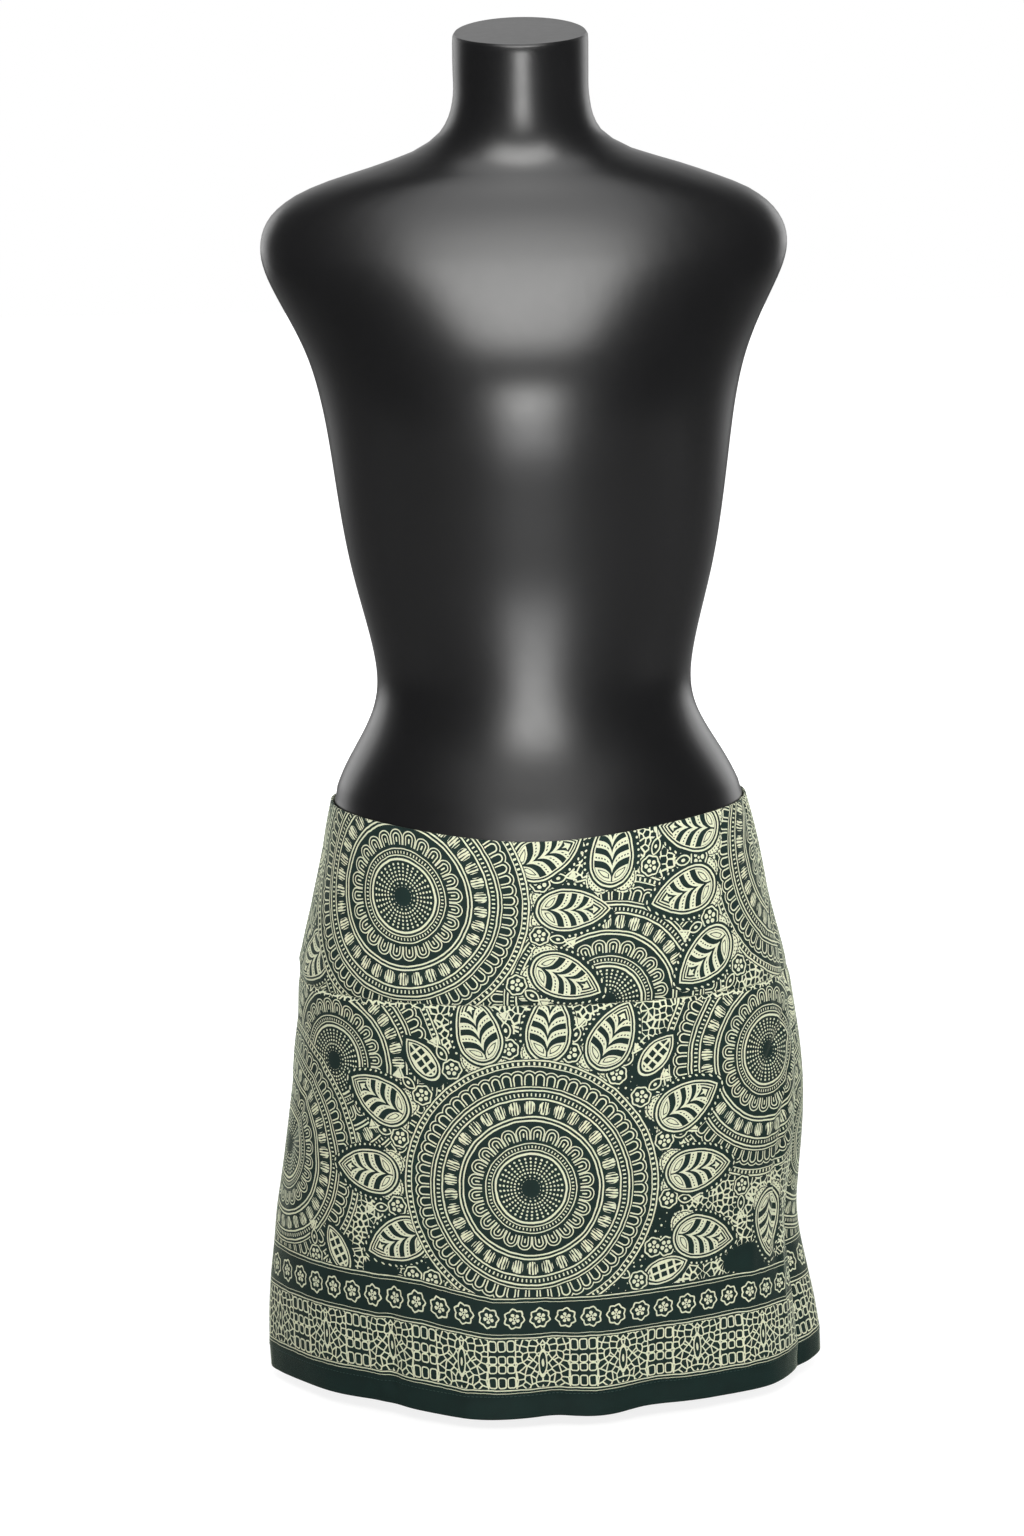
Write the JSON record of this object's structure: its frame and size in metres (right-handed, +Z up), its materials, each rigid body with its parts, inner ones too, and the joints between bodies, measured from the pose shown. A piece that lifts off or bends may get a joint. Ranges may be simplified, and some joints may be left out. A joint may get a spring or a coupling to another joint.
{
  "type": "mini skirt on a torso dress form",
  "caption": "Short A-line printed cotton skirt with a deep yoke, worn on a glossy limbless torso form that stands on its flat foot.",
  "frame": {"origin": "middle of the torso's flat foot, on the surface it stands on", "axes": "+Z up, -Y the front of the skirt, +X the wearer's left"},
  "size_m": [0.4165, 0.2776, 1.0076],
  "materials": {
    "cloth": "matte printed cotton, cream on dark green",
    "form": "glossy black"
  },
  "bodies": {
    "root": {"form_torso": "form", "yoke_front": "cloth", "yoke_back": "cloth", "skirt_front": "cloth", "skirt_back": "cloth"}
  },
  "joints": []
}
